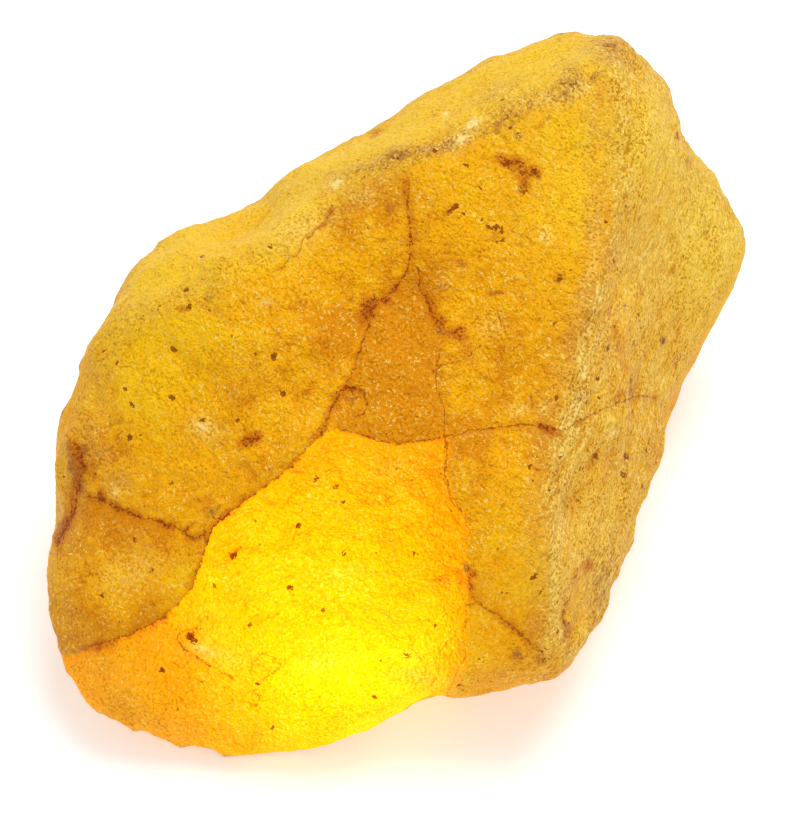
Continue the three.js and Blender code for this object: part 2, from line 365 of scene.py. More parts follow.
# what lies on the skin: bright (pale gold; partly painted light where the stone is thin, and painted light and shade
# that even out how the lamp falls), tone (lighter or deeper), haze (dims the lit cell), seep (lets more light out),
# bare (no tan), bruise (grainy brown), rust (sprinkled red-brown), frost (sugary pale grains, and painted highlight
# streaks down the ridge of the right flank) and wear (dull, rubbed, and down that ridge also a painted highlight);
# each has its place in the frame, two half widths in pixels, strength, and turn in degrees if it is turned
skinMarks = {
    "bright": [
        (552, 165, 45, 85, 0.35, 10), (54, 492, 9, 34, 0.6, 5), (716, 235, 34, 85, 1.5, 12),
        (650, 145, 36, 60, 1.0, -25), (628, 290, 8, 12, 0.9), (615, 500, 30, 12, 0.4, -60),
        (577, 620, 7, 18, 0.9, 10), (200, 265, 60, 26, -0.55, -30), (585, 374, 4, 10, 1.0, 10),
        (230, 235, 60, 16, -0.35, -30), (480, 100, 70, 14, -0.15, -28),
    ],
    "tone": [
        (210, 260, 110, 60, 0.5, -30), (140, 350, 60, 90, 0.65), (400, 370, 50, 70, -0.35),
        (265, 258, 50, 20, 0.4, -30), (510, 550, 45, 60, 0.45), (520, 462, 50, 26, -0.1), (330, 325, 40, 36, -0.45),
        (562, 230, 22, 80, 0.4, 5), (385, 215, 60, 60, -0.3), (435, 260, 20, 50, -0.35), (430, 250, 90, 80, -0.12),
        (456, 590, 16, 70, 0.4), (560, 580, 50, 60, 0.3), (150, 580, 50, 50, 0.25), (430, 290, 14, 20, -0.35),
        (178, 600, 18, 34, 0.3), (520, 188, 30, 20, -0.3), (235, 565, 20, 42, -0.45), (285, 548, 22, 34, 0.5),
        (235, 395, 25, 25, -0.35), (120, 440, 35, 25, -0.35), (255, 290, 40, 20, -0.35, -20),
        (430, 335, 20, 20, -0.35), (335, 345, 25, 20, -0.25), (335, 192, 18, 12, -0.35), (480, 392, 20, 20, 0.3),
        (580, 115, 14, 40, 0.3), (632, 392, 14, 22, -0.5), (588, 440, 18, 18, -0.6), (180, 292, 22, 16, 0.3),
        (232, 342, 20, 16, 0.35), (385, 190, 32, 24, -0.35), (480, 190, 40, 25, -0.2), (582, 200, 14, 50, 0.45, 5),
        (530, 315, 22, 42, 0.25), (576, 490, 14, 30, 0.35, 10), (215, 335, 40, 26, 0.3), (180, 290, 25, 20, 0.25),
        (235, 292, 24, 16, -0.2), (480, 440, 25, 14, -0.5), (186, 572, 18, 42, 0.55), (275, 565, 32, 45, 0.5),
        (530, 592, 20, 16, 0.3), (460, 380, 20, 20, 0.25), (632, 385, 9, 16, -0.6, 10), (130, 575, 50, 30, 0.3),
        (640, 470, 30, 60, -0.3, 20), (515, 375, 60, 40, -0.1), (480, 200, 90, 40, 0.4, -20),
        (180, 440, 60, 50, 0.25), (490, 650, 40, 40, 0.2), (700, 215, 50, 70, 0.7, 20), (640, 150, 40, 60, 0.6, -30),
        (120, 700, 60, 45, 0.3, -20), (340, 560, 60, 60, 0.3),
    ],
    "haze": [
        (125, 648, 75, 16, 0.3, -17), (418, 678, 26, 9, 0.4, 10), (205, 650, 26, 10, 0.3, 10),
        (130, 710, 95, 75, 0.7, 20), (450, 720, 60, 30, 0.3), (415, 460, 70, 40, 0.3, -10),
        (330, 450, 50, 22, 0.2, -30),
    ],
    "seep": [
        (505, 560, 50, 80, 0.07), (480, 655, 40, 50, 0.05), (190, 470, 90, 70, 0.035, -30), (120, 590, 60, 50, 0.04),
    ],
    "bare": [
        (620, 343, 6, 30, 1.0, -8), (580, 605, 11, 32, 0.9, 16), (628, 291, 8, 11, 0.9), (655, 215, 10, 16, 0.5, 20),
        (600, 470, 14, 26, 0.6, 20), (645, 545, 12, 40, 0.4, 15), (612, 262, 12, 16, 0.4, 20),
    ],
    "bruise": [
        (76, 470, 8, 30, 0.9, -8), (61, 528, 8, 18, 0.6, 25), (400, 158, 20, 5, 0.55, -12),
        (430, 148, 16, 5, 0.55, -25), (375, 166, 40, 9, 0.4, -10), (445, 146, 40, 10, 0.45, -28),
        (505, 120, 40, 12, 0.42, -25), (560, 92, 30, 14, 0.45, -45), (470, 140, 10, 4, 0.5),
        (505, 128, 14, 4, 0.6, -10), (520, 135, 6, 4, 0.8), (540, 125, 8, 4, 0.6, -20), (572, 85, 14, 7, 0.6, -50),
        (596, 75, 8, 14, 0.5, 20), (560, 100, 10, 5, 0.5, -40), (610, 45, 12, 5, 0.5, -10), (85, 452, 7, 8, 0.8),
        (100, 645, 30, 7, 0.5, -12), (466, 566, 7, 7, 0.6), (463, 650, 7, 9, 0.35), (630, 388, 10, 20, 0.5, 10),
        (518, 655, 9, 9, 0.5), (545, 655, 14, 7, 0.5, -30), (566, 630, 5, 14, 0.6, 25), (619, 343, 3, 24, 0.45, -8),
        (661, 340, 4, 9, 0.6, -10), (618, 258, 3, 6, 0.4), (392, 207, 11, 11, 0.5), (352, 397, 14, 9, 0.4),
        (160, 622, 30, 6, 0.45, -38), (460, 262, 15, 5, 0.5, 20), (441, 286, 7, 7, 0.5), (325, 220, 5, 22, 0.5, 35),
        (200, 350, 9, 9, 0.3), (545, 240, 5, 8, 0.3), (212, 512, 10, 5, 0.6, -35), (585, 395, 24, 4, 0.5, -25),
        (588, 560, 4, 14, 0.5, -20), (575, 612, 4, 24, 0.4, 18), (650, 250, 6, 20, 0.3, 20),
        (205, 300, 5, 12, 0.4, 20), (445, 333, 22, 5, 0.5, 25),
    ],
    "rust": [
        (368, 308, 10, 17, 1.15, 20), (385, 299, 8, 6, 0.9), (456, 335, 13, 6, 0.8, 25), (436, 306, 6, 8, 0.5),
        (250, 440, 13, 7, 1.1, -20), (184, 310, 7, 4, 0.8), (511, 162, 16, 7, 1.2, 8), (531, 171, 13, 6, 1.2, 20),
        (525, 184, 6, 11, 0.95, 20), (500, 157, 8, 4, 0.9), (520, 175, 12, 8, 0.5, 20), (499, 232, 12, 12, 0.35),
        (452, 206, 5, 4, 0.7, -40), (445, 214, 5, 3, 0.6, -20), (405, 188, 5, 14, 0.7), (409, 218, 6, 10, 0.6),
        (410, 245, 5, 12, 0.6), (396, 284, 9, 6, 0.8, -35), (345, 388, 6, 10, 0.7, 40), (322, 428, 6, 12, 0.6, 30),
        (296, 462, 14, 5, 0.6, -38), (226, 516, 16, 6, 0.8, -35), (204, 556, 5, 14, 0.6, 15),
        (428, 300, 6, 14, 0.7, -25), (441, 322, 8, 8, 0.8), (102, 497, 5, 9, 1.2, 10), (81, 457, 7, 19, 0.9, -20),
        (76, 485, 5, 20, 0.8, 10), (66, 522, 6, 14, 0.7, 20), (60, 545, 6, 14, 0.6), (95, 470, 6, 16, 0.6),
        (235, 552, 10, 4, 0.9, -35), (191, 635, 6, 4, 1.2, -20), (473, 573, 6, 5, 0.8, 20),
        (352, 389, 13, 4, 0.9, 8), (336, 400, 6, 5, 0.7, -40), (392, 207, 10, 10, 0.45), (98, 646, 26, 7, 0.5, -10),
        (550, 430, 13, 5, 1.1, 25), (617, 397, 12, 3, 0.6, -35), (495, 294, 10, 3, 0.9, 3),
        (655, 400, 4, 12, 0.5, 40), (492, 670, 9, 6, 0.3, -60), (468, 655, 7, 7, 0.2), (425, 255, 7, 8, 0.45),
        (460, 260, 15, 4, 0.5, 20), (494, 238, 6, 6, 0.4), (383, 242, 8, 7, 0.35), (320, 225, 3, 12, 0.7, 35),
        (160, 617, 22, 4, 0.5, -35), (185, 530, 12, 4, 0.7, -35), (165, 529, 12, 4, 0.6, 20), (586, 566, 7, 7, 0.7),
        (567, 632, 6, 12, 0.5, 30), (540, 655, 12, 6, 0.4, -30), (490, 612, 14, 4, 0.5, 40), (585, 232, 4, 12, 0.3),
        (672, 270, 4, 10, 0.5, 20), (676, 138, 4, 5, 0.8), (690, 143, 3, 6, 0.6, -20), (300, 405, 8, 8, 0.3),
        (196, 500, 9, 6, 0.35), (277, 335, 9, 6, 0.3), (412, 388, 9, 4, 0.5), (330, 612, 5, 12, 0.35, 30),
        (440, 580, 10, 3, 0.5, -20), (300, 575, 5, 8, 0.2), (376, 132, 12, 4, 0.5, -35), (332, 173, 8, 4, 0.4, -30),
        (540, 128, 5, 4, 0.7), (596, 97, 5, 10, 0.4, 20), (600, 60, 6, 8, 0.3), (556, 279, 10, 9, 0.5),
        (562, 199, 6, 4, 0.6, -30),
    ],
    "frostAndHighlight": [
        (418, 678, 24, 8, 0.5, 10), (222, 655, 30, 10, 0.5, 10), (205, 428, 15, 10, 0.9, 30), (118, 492, 9, 6, 0.7),
        (583, 352, 4, 14, 0.8, 10), (545, 236, 6, 9, 1.0, -30), (265, 302, 10, 6, 0.4), (490, 328, 11, 9, 0.6),
        (520, 410, 10, 6, 0.7), (545, 408, 7, 5, 0.6), (463, 137, 11, 6, 1.0, -30), (474, 121, 9, 5, 1.0, -30),
        (336, 186, 11, 6, 0.9, -20), (447, 112, 8, 4, 0.7, -30), (365, 196, 10, 5, 0.6),
        (300, 232, 26, 18, 0.55, -30), (130, 570, 30, 18, 0.4, -20), (550, 100, 12, 8, 0.6, 20),
        (580, 90, 12, 7, 0.6, 30), (325, 660, 26, 10, 0.35, -10), (205, 648, 18, 11, 0.5, -10),
        # thin frost streaks down the ridge of the right flank: painted highlight
        (575, 410, 5, 30, 0.8, 28), (597, 345, 5, 34, 0.7, 26), (566, 446, 4, 26, 0.8, 22),
        (606, 372, 4, 26, 0.5, 26), (556, 560, 5, 50, 0.6, 5), (548, 640, 5, 30, 0.5, 14),
        (590, 270, 5, 34, 0.5, 15), (640, 330, 5, 34, 0.4, 28), (620, 260, 14, 12, 0.3), (445, 285, 6, 5, 0.3),
        (340, 575, 26, 8, 0.3, -10), (430, 665, 30, 9, 0.2, 10), (598, 520, 20, 40, 0.3, 10),
        (700, 225, 22, 34, 0.2, 20), (520, 545, 8, 3, 0.5, 10), (385, 470, 20, 8, 0.25, -30),
    ],
    "wearAndHighlight": [
        (398, 157, 34, 8, 1.0, -12), (455, 138, 34, 10, 1.0, -25), (520, 105, 40, 12, 0.7, -25),
        (426, 150, 14, 9, 1.2, -20), (500, 90, 30, 8, 0.5, -25), (575, 88, 18, 12, 1.0, -45),
        (350, 175, 30, 10, 0.45, -20), (290, 190, 34, 9, 0.3, -25), (570, 75, 20, 14, 0.7, -50),
        # the strokes near x 545 to 600 run down the ridge of the right flank, where the dull wear is also a painted
        # highlight
        (590, 130, 9, 40, 0.5), (595, 220, 14, 40, 0.55, 5), (590, 310, 12, 40, 0.6, 10),
        (575, 400, 12, 40, 0.6, 12), (560, 500, 10, 60, 0.4), (545, 620, 12, 50, 0.5, 15), (120, 480, 16, 10, 0.5),
        (90, 430, 12, 20, 0.5), (54, 500, 9, 34, 0.5, 8), (100, 455, 14, 12, 0.5), (610, 50, 26, 18, 1.0, 10),
        (560, 670, 40, 10, 0.5, -30), (598, 590, 18, 40, 0.9, 15),
    ],
}
addedMarks = ("tone", "bright", "haze", "seep")  # add up where they overlap; of the rest the strongest shows

# the same on the sides that the frame doesn't show: size of the patches in millimetres, the heights of their noise
# where they start and are whole, strength, seed
hiddenMarks = {
    "bare": (5.0, 0.1, 0.8, 0.8, 173),
    "bruise": (4.0, 0.35, 1.1, 0.8, 179),
    "rust": (2.6, 0.55, 1.3, 1.1, 103),
    "frostAndHighlight": (3.2, 0.35, 1.1, 0.8, 107),
    "wearAndHighlight": (6.0, 0.1, 0.9, 0.8, 109),
}

# small dark specks and pale flecks: places in the frame by their half width, in pixels
skinSpots = {
    "specks": {
        1.4: [(573, 233), (576, 301), (563, 307), (527, 239), (633, 153), (606, 222), (172, 484)],
        1.5: [(612, 152), (633, 184), (466, 153), (538, 460), (534, 366)],
        1.6: [(555, 283)],
        1.7: [
            (514, 312), (627, 204), (626, 305), (502, 100), (555, 323), (102, 351), (254, 354), (140, 435),
            (78, 607), (177, 630), (504, 592), (531, 467), (478, 467), (459, 685), (644, 488), (272, 729),
            (600, 520),
        ],
        1.8: [(493, 232)],
        2.0: [
            (503, 229), (463, 214), (509, 128), (601, 379), (117, 363), (203, 257), (271, 247), (170, 397),
            (238, 420), (153, 569), (162, 670), (551, 493), (343, 502), (260, 544), (404, 658), (408, 657),
            (435, 625), (204, 420),
        ],
        2.2: [
            (562, 199), (618, 259), (497, 227), (504, 239), (498, 246), (480, 190), (386, 167), (515, 134),
            (466, 130), (615, 327), (611, 348), (646, 450), (625, 475), (581, 469), (104, 361), (126, 389),
            (185, 290), (215, 585), (530, 577), (478, 658), (626, 476), (335, 488), (316, 479), (323, 609),
            (375, 697), (676, 137),
        ],
        2.4: [
            (571, 270), (561, 276), (558, 279), (488, 227), (497, 236), (466, 166), (452, 210), (398, 162),
            (557, 399), (561, 457), (131, 405), (156, 308), (191, 307), (251, 626), (540, 592), (344, 554),
            (690, 142),
        ],
        2.6: [
            (526, 191), (500, 240), (481, 218), (446, 214), (392, 217), (662, 342), (595, 456), (170, 348),
            (281, 394), (131, 437), (533, 574), (542, 648), (299, 524), (196, 640), (234, 555),
        ],
        2.8: [(627, 457), (274, 357), (134, 539)],
        3.0: [(510, 162), (456, 206), (434, 153), (106, 593), (290, 587)],
        3.4: [(534, 170)],
        4.0: [(191, 635)],
    },
    "flecks": {
        2.4: [(541, 411), (411, 165), (595, 184), (199, 424), (351, 571), (308, 497)],
        2.6: [
            (548, 243), (341, 183), (518, 187), (530, 204), (549, 180), (588, 87), (564, 98), (118, 490), (265, 302),
            (316, 665), (331, 662),
        ],
        2.8: [(545, 409), (520, 412)],
        3.0: [(470, 124), (447, 111), (586, 367), (596, 95), (205, 428), (213, 652), (628, 290), (340, 575)],
        3.2: [(458, 140), (197, 645)],
        3.4: [(336, 186)],
        3.6: [(612, 432)],
        4.0: [(543, 238), (205, 648)],
        4.2: [(585, 374)],
        4.4: [(462, 137), (474, 121)],
    },
}

# cracks of the sides that the frame doesn't show, where a wavy plane cuts the skin: group, bearing and slope of the
# plane's normal, its distance from the heart, half width, rust, and the middle and reach of the stretch that is open
hiddenCracks = {
    "longCrackUnder": ("sixth", 35, 10, -9.5, 0.08, 0.6, (-12.0, -12.0, -8.0), 13.0),
    "backSplit": ("seventh", 100, 12, 3.5, 0.1, 0.8, (-16.0, 4.0, -2.0), 14.0),
    "backFork": ("sixth", 150, -50, 11.5, 0.06, 0.5, (-11.0, 15.0, -5.0), 9.0),
    "acrossCrackUnder": ("sixth", 118, 25, 1.5, 0.06, 0.5, (17.0, 5.0, -7.0), 10.0),
    "farSplit": ("seventh", 10, 35, 3.0, 0.07, 0.7, (3.0, 24.0, -3.0), 12.0),
    "nearSplit": ("seventh", 60, -30, -8.0, 0.07, 0.6, (0.0, -22.0, -8.0), 9.0),
}

# how the cracks and the fine relief are cut, in millimetres unless it says otherwise
skinForm = {
    "grooveDepth": 0.14,
    "grooveWidth": 0.1,  # half width of a crack whose groove is that deep
    "grooveSpread": 0.2,
    "widest": 0.15,  # half width past which a groove gets no deeper
    "jitter": (0.35, 1.3, 71),  # share by which a crack widens and narrows, size, seed
    "crackEnds": 0.06,  # share of a crack's run over which its ends taper
    "waviness": (1.5, 7.0, 0.35, 1.4),  # of the hidden cracks: height and size of the long and short waves
    "waveSeeds": (50, 60),
    "hiddenFade": 2.5,  # over which a hidden crack closes
    "hairline": 0.004,  # half width under which a crack isn't cut
    "farOff": 9.0,  # the distance where a group has no crack
    "crackReach": 0.9,  # from its middle, over which a crack keeps its width
    "rustReach": 0.45,
    "striation": (0.15, 0.9, 4.5, -76, -9),  # of the right flank: depth, spacing, length, bearing and slope
    "striationSeed": 97,
    "rubbed": (0.3, 1.3, 91),  # where the skin is worn: height, size, seed
    "ledgeStep": (0.12, 2.2, 83, 5.0),  # small broken steps: height, size, seed, steepness
    "stepPatches": (5.0, 89, 0.0, 0.4),  # where they lie: size, seed, the noise there at its edge and middle
}


def bell(across, down, x, y, wide, high, turn):
    # a bell curve over the frame, exp(-(u/wide)^2 - (v/high)^2), with u and v turned by that many degrees
    lean = np.radians(turn)
    u = (across - x) * np.cos(lean) + (down - y) * np.sin(lean)
    v = (down - y) * np.cos(lean) - (across - x) * np.sin(lean)
    return np.exp(-((u / wide) ** 2) - (v / high) ** 2)


def smoothRise(value, low, high):
    # 0 below low, 1 above high, 3t^2 - 2t^3 between
    t = np.clip((value - low) / (high - low), 0, 1)
    return t * t * (3 - 2 * t)


def outwardNormals(points, squares):
    # the sum at each point of the cross products of its squares' diagonals, brought to unit length
    diagonals = np.cross(points[squares[:, 2]] - points[squares[:, 0]], points[squares[:, 3]] - points[squares[:, 1]])
    normals = np.zeros_like(points)
    for corner in range(4):
        for axis in range(3):
            normals[:, axis] += np.bincount(squares[:, corner], diagonals[:, axis], len(points))
    return normals / np.linalg.norm(normals, axis=1, keepdims=True)


def spotDistance(across, down, kind):
    # distance in millimetres to the edge of the nearest spot, below 0 inside it, and 1 far off
    nearest = np.full(len(across), 1.0)
    for reach, places in skinSpots[kind].items():
        for x, y in places:
            nearest = np.minimum(nearest, (np.hypot(across - x, down - y) - reach) * cameraPlan["pixelSize"])
    return nearest


def openCracks(points, across, down, front):
    # for each group the signed distance to the nearest crack and its half width, -1 where none is near;
    # and how rusty the skin is beside them, a bell curve over the distance
    fields, rust, cracks = {}, np.zeros(len(points)), []
    ends = skinForm["crackEnds"]
    for group, width, dirt, line in stoneCracks.values():
        side, along = fromLine(across, down, line)
        taper = smoothRise(along, 0, ends) * smoothRise(1 - along, 0, ends)
        cracks.append((group, side, width * taper * front, dirt * taper * front))
    high, longSize, low, shortSize = skinForm["waviness"]
    longSeed, shortSeed = skinForm["waveSeeds"]
    for number, (group, bearing, slope, away, width, dirt, middle, reach) in enumerate(hiddenCracks.values()):
        wave = high * softNoise(points, longSize, longSeed + number)
        wave += low * softNoise(points, shortSize, shortSeed + number)
        side = points @ pointing(bearing, slope) - away + wave
        room = reach - np.linalg.norm(points - middle, axis=1)
        near = smoothRise(room, 0, skinForm["hiddenFade"]) * (1 - front)
        cracks.append((group, side, width * near, dirt * near))
    height, size, seed = skinForm["jitter"]
    uneven = 1 + height * softNoise(points, size, seed)
    for group, side, width, dirt in cracks:
        held, heldWidth = fields.get(group, (np.full(len(points), skinForm["farOff"]), np.full(len(points), -1.0)))
        nearer = (np.abs(side) < np.abs(held)) & (width > skinForm["hairline"])
        within = nearer & (np.abs(side) < skinForm["crackReach"])
        fields[group] = (
            np.where(nearer, side, held),
            np.where(within, width * uneven, np.where(nearer, -1, heldWidth)),
        )
        rust = np.maximum(rust, dirt * np.exp(-np.abs(side) / skinForm["rustReach"]))
    return fields, rust


def faceShare(shares, *names):
    # how far the named faces make up the skin
    return shares[:, [list(stoneFaces).index(name) for name in names]].sum(axis=1)


def striations(points, shares):
    # noise drawn out along one direction, on the right flank alone
    _, spacing, length, bearing, slope = skinForm["striation"]
    along = pointing(bearing, slope)
    run = points @ along
    drawn = points - run[:, None] * along * (1 - spacing / length)
    flank = faceShare(shares, "rightFlank", "rightBrink")
    return flank * layeredNoise(drawn, spacing, skinForm["striationSeed"], 2)


def skinRelief(points, shares, fields, wearAndHighlight):
    # what the fine relief adds along each direction: lumps, knobs and grain of noise, small steps where a noise
    # crosses its middle, striations, rubbed roughness, less a bell-shaped groove along each crack
    added = np.zeros(len(points))
    for height, size, seed in reliefSizes.values():
        added += height * softNoise(points, size, seed)
    height, size, seed, steepness = skinForm["ledgeStep"]
    patchSize, patchSeed, low, high = skinForm["stepPatches"]
    patches = smoothRise(softNoise(points, patchSize, patchSeed), low, high)
    added += height * np.tanh(steepness * softNoise(points, size, seed)) * patches
    height, size, seed = skinForm["rubbed"]
    added += height * wearAndHighlight * layeredNoise(points, size, seed)
    added += skinForm["striation"][0] * striations(points, shares)
    for side, width in fields.values():
        opened = np.clip(width, 0, skinForm["widest"]) / skinForm["grooveWidth"]
        added -= skinForm["grooveDepth"] * opened * np.exp(-(side**2) / (2 * skinForm["grooveSpread"] ** 2))
    return added


# how the marks spread over the skin; a noise has its strength, its size in millimetres and its seed
skinSpread = {
    "front": (0.02, 0.12),  # lean towards the camera at which the frame's marks start and are whole
    "shown": 0.3,  # share of the front from which specks and the lit cell are drawn
    "rustClouds": (0.5, 1.1, 149),
    "bend": (1.6, 2.2, (161, 163, 167)),  # of the hidden patches
    "edgeWear": (0.02, 0.1, 0.7),  # roundness of a brink where it starts and is whole, and strength
    "frontWear": 0.6,  # share of it that the front goes without
    "hiddenHaze": 0.7,
    "cellFade": 0.45,  # mm to both sides of a cell's outline
    "litReach": ((4, 6), (-13.4, -12.6)),  # how far down the lit underside starts, the heights where it ends
    "unlit": -3.0,  # mm, stands for far outside the lit cell
    # the flank's tan is partly the frosted skin's own colour and partly a painted sheen of its grazing faces
    "tanClouds": (0.1, 1.6, 151),
    "tan": (0.2, 0.75),  # share of the flank's faces where its tan starts and is whole
    # pale grains painted as highlights on the raised striations of the flank
    "fibreHighlight": (0.4, 0.3, 0.9),  # strength, and the striations' heights where it starts and is whole
    "slowTone": (0.25, 9.0, 113),
    "quickTone": (0.2, 2.6, 127),
    # painted shade: lighter where the relief's knobs, grain and striations stand out, deeper in their hollows
    "reliefShading": {"knobs": 0.12, "grain": 0.25},
    "fibreShading": 0.4,
    "veins": (2.6, 131),
    "veinGaps": (5.0, 137, 0.1, -0.3),  # size, seed, and the noise's heights where veins end and begin
    "wisps": (1.2, 139),
    "litBlur": (0.05, 0.75, 430, 450),  # mm at the lit cell's left, what the right adds, and where, in pixels
}


def skinMarkings(skin, across, down, front, shares, normals, rust):
    # how strong each mark is: bells placed in the frame, and noise patches and worn edges on the sides beyond it
    marks = {kind: np.zeros(len(skin)) for kind in skinMarks}
    for kind, places in skinMarks.items():
        join = np.add if kind in addedMarks else np.maximum
        for x, y, wide, high, strength, *turn in places:
            mark = strength * bell(across, down, x, y, wide, high, sum(turn))
            marks[kind] = join(marks[kind], mark * (1 if kind == "haze" else front))
    strength, size, seed = skinSpread["rustClouds"]
    marks["rust"] = np.maximum(marks["rust"], rust * (1 + strength * softNoise(skin, size, seed)))
    strength, size, seeds = skinSpread["bend"]
    bent = skin + np.stack([strength * layeredNoise(skin, size, seed) for seed in seeds], axis=1)
    for kind, (size, low, high, strength, seed) in hiddenMarks.items():
        patch = smoothRise(layeredNoise(bent, size, seed, 4), low, high)
        marks[kind] = np.maximum(marks[kind], strength * (1 - front) * patch)
    low, high, strength = skinSpread["edgeWear"]
    edges = smoothRise(1 - np.linalg.norm(shares @ normals, axis=1), low, high)
    marks["wearAndHighlight"] = np.maximum(marks["wearAndHighlight"], (1 - skinSpread["frontWear"] * front) * edges * strength)
    marks["haze"] = np.maximum(marks["haze"], skinSpread["hiddenHaze"] * (1 - front))
    return marks


def putAttribute(mesh, name, *columns):
    # one value, or one row of three, for each point; a third that isn't given is 0
    kind, field = ("FLOAT", "value") if len(columns) == 1 else ("FLOAT_VECTOR", "vector")
    if len(columns) == 2:
        columns += (np.zeros(len(columns[0])),)
    attribute = mesh.attributes.new(name, kind, "POINT")
    attribute.data.foreach_set(field, np.stack(columns, axis=1).astype(float).ravel())


def makeStone():
    # P = direction * (reach - worn + relief), brought back along the direction to the flat break at the base
    heart = stoneForm["heartHeight"]
    directions, squares = weldedGrid(ballDirections(stoneForm["patchSide"], stoneForm["stretch"]))
    reach, shares, normals = faceShares(directions)
    skin = directions * (reach - wornAway(directions * reach[:, None]))[:, None]
    across, down = inFrame(skin)
    front = smoothRise(outwardNormals(skin, squares) @ cameraAxes()[2], *skinSpread["front"])
    fields, rust = openCracks(skin, across, down, front)
    marks = skinMarkings(skin, across, down, front, shares, normals, rust)
    skin = skin + directions * skinRelief(skin, shares, fields, marks["wearAndHighlight"])[:, None]
    deep = skin[:, 2] < -heart
    skin[deep] *= (-heart / skin[deep, 2])[:, None]
    print("stone worked out:", len(skin), "points,", len(squares), "squares")

    mesh = bpy.data.meshes.new("sapphireStone")
    mesh.from_pydata((skin + (0, 0, heart)) * millimetre, [], squares)
    mesh.polygons.foreach_set("use_smooth", np.ones(len(squares), bool))
    markStone(mesh, skin, across, down, front, shares, fields, marks)
    mesh.update()
    stone = bpy.data.objects.new("sapphireStone", mesh)
    bpy.context.collection.objects.link(stone)
    print("stone in place:", sorted(fields))
    return stone, list(fields)


def markStone(mesh, skin, across, down, front, shares, fields, marks):
    # puts what the skin's material reads on the points: zones, marks, cracks, veins, spots and the lit cell
    tone, spread = marks["tone"], skinSpread
    for name, (depth, outline) in stoneCells.items():
        inside = insideOutline(across, down, outline)
        if name == "litCell":
            (low, high), (bottom, top) = spread["litReach"]
            under = smoothRise(-skin[:, 2], low, high) * smoothRise(skin[:, 2], bottom, top)
            lit = np.where(front + under > spread["shown"], inside, spread["unlit"])
        tone += depth * smoothRise(inside, -spread["cellFade"], spread["cellFade"]) * front
    # the flank's tan and the strip's pale gold: partly their own colour, partly a painted sheen of grazing faces
    strength, size, seed = spread["tanClouds"]
    flank = faceShare(shares, "rightFlank", "rightBrink", "knobUnder") + strength * softNoise(skin, size, seed)
    flank = smoothRise(flank, *spread["tan"]) * (1 - marks["bare"])
    strip = np.clip(faceShare(shares, "topStrip", "topStripFar", "apexLeft") + marks["bright"], 0, 1)
    drawn = striations(skin, shares)
    # pale frost grains, with painted highlights on the raised striations
    strength, low, high = spread["fibreHighlight"]
    frostAndHighlight = np.maximum(marks["frostAndHighlight"], strength * smoothRise(drawn, low, high))
    for noise, (strength, size, seed) in ((softNoise, spread["slowTone"]), (layeredNoise, spread["quickTone"])):
        tone += strength * noise(skin, size, seed)
    # painted shade: lighter on the raised striations, knobs and grain, deeper in their hollows
    tone += spread["fibreShading"] * drawn
    for name, strength in spread["reliefShading"].items():
        tone += strength * softNoise(skin, *reliefSizes[name][1:])
    size, seed, low, high = spread["veinGaps"]
    veins = layeredNoise(skin, *spread["veins"]) + smoothRise(softNoise(skin, size, seed), low, high)
    sharp, softer, left, right = spread["litBlur"]
    blur = sharp + softer * smoothRise(across, left, right)
    shown = front > spread["shown"]
    specks, flecks = (np.where(shown, spotDistance(across, down, kind), 1) for kind in ("specks", "flecks"))
    for group, (side, width) in fields.items():
        putAttribute(mesh, group + "Cracks", side, width)
    putAttribute(mesh, "skinMarks", marks["rust"], frostAndHighlight, marks["wearAndHighlight"])
    putAttribute(mesh, "skinZones", flank, strip, tone)
    putAttribute(mesh, "skinVeins", veins, layeredNoise(skin, *spread["wisps"]), lit)
    putAttribute(mesh, "skinSpots", specks, flecks, blur)
    putAttribute(mesh, "skinBruises", marks["bruise"])
    putAttribute(mesh, "skinLight", marks["haze"], marks["seep"])


# colours of the stone as they look, 0 to 255
stoneColours = {
    "deepAmber": (222, 142, 2),
    "amber": (246, 176, 2),
    "gold": (254, 198, 12),
    # tan and pale gold: partly the skin's own colour, partly a painted sheen of the flank's and the strip's grazing
    # faces
    "tan": (237, 186, 55),
    "paleGold": (248, 206, 50),
    "brown": (138, 70, 10),
    "rust": (136, 54, 20),
    "rustHalo": (206, 116, 18),
    "bruise": (164, 104, 50),
    # worn skin; down the ridge of the right flank it also stands in as a painted highlight
    "dull": (204, 156, 80),
    # painted shade along the fine relief's wrinkles
    "wrinkleShade": (184, 100, 4),
    # pale sugary grains; also the colour of painted glints and highlight streaks
    "frostAndHighlight": (255, 226, 118),
    "fleck": (255, 228, 140),
    # painted shade in the grain's pits, multiplied in
    "pitShade": (204, 164, 50),
    "glow": (255, 196, 8),
    "glowPale": (255, 226, 60),
    "glowVein": (250, 140, 0),
    "glowEdge": (255, 180, 6),
    # painted shade in the pits over the lit cell, multiplied in
    "glowPitShade": (198, 190, 130),
    "glowSpeck": (104, 48, 8),
}

# noise of the skin: size in millimetres, detail, roughness
skinNoise = {
    "grain": (0.2, 1.0, 0.7),
    "sparkle": (0.22, 2.0, 0.7),
    "stray": (0.5, 2.0, 0.6),
    "fibre": (0.2, 1.0, 0.6),
    "sugar": (2.4, 3.0, 0.6),
}

